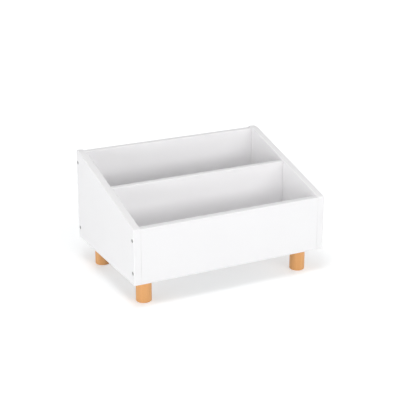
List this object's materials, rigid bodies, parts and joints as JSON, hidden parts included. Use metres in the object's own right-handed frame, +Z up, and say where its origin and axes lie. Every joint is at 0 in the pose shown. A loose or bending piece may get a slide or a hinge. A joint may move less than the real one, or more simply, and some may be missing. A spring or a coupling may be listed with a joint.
{
  "type": "kids bookcase",
  "caption": "Low open-topped book bin for children: white lacquered boards with sloping sides and a middle divider, screwed and dowelled together, on round beech legs.",
  "frame": {"origin": "on the room's floor, under the middle of the bin", "axes": "+X along the width to the right-hand side board, +Y from the low front to the high back, +Z up"},
  "size_m": [0.54, 0.37, 0.312],
  "materials": {
    "white_lacquer": "satin white lacquer on fibreboard",
    "beech": "clear satin oil on turned beech",
    "zinc_steel": "zinc-plated",
    "dowel_wood": "raw beech"
  },
  "bodies": {
    "root": {"back_panel": "white_lacquer", "corner_dowel_back_left": "dowel_wood", "corner_dowel_back_right": "dowel_wood", "corner_dowel_front_left": "dowel_wood", "corner_dowel_front_right": "dowel_wood", "divider_dowel_left_lower": "dowel_wood", "divider_dowel_left_upper": "dowel_wood", "divider_dowel_right_lower": "dowel_wood", "divider_dowel_right_upper": "dowel_wood", "divider_panel": "white_lacquer", "floor_dowel_back_left": "dowel_wood", "floor_dowel_back_right": "dowel_wood", "floor_dowel_front_left": "dowel_wood", "floor_dowel_front_right": "dowel_wood", "floor_dowel_left_back": "dowel_wood", "floor_dowel_left_front": "dowel_wood", "floor_dowel_right_back": "dowel_wood", "floor_dowel_right_front": "dowel_wood", "floor_panel": "white_lacquer", "front_panel": "white_lacquer", "left_side_panel": "white_lacquer", "leg_back_left": "beech", "leg_back_right": "beech", "leg_bolt_back_left": "zinc_steel", "leg_bolt_back_right": "zinc_steel", "leg_bolt_front_left": "zinc_steel", "leg_bolt_front_right": "zinc_steel", "leg_front_left": "beech", "leg_front_right": "beech", "leg_insert_back_left": "zinc_steel", "leg_insert_back_right": "zinc_steel", "leg_insert_front_left": "zinc_steel", "leg_insert_front_right": "zinc_steel", "right_side_panel": "white_lacquer", "screw_back_left_lower": "zinc_steel", "screw_back_left_upper": "zinc_steel", "screw_back_right_lower": "zinc_steel", "screw_back_right_upper": "zinc_steel", "screw_front_left_lower": "zinc_steel", "screw_front_left_upper": "zinc_steel", "screw_front_right_lower": "zinc_steel", "screw_front_right_upper": "zinc_steel"}
  },
  "joints": []
}
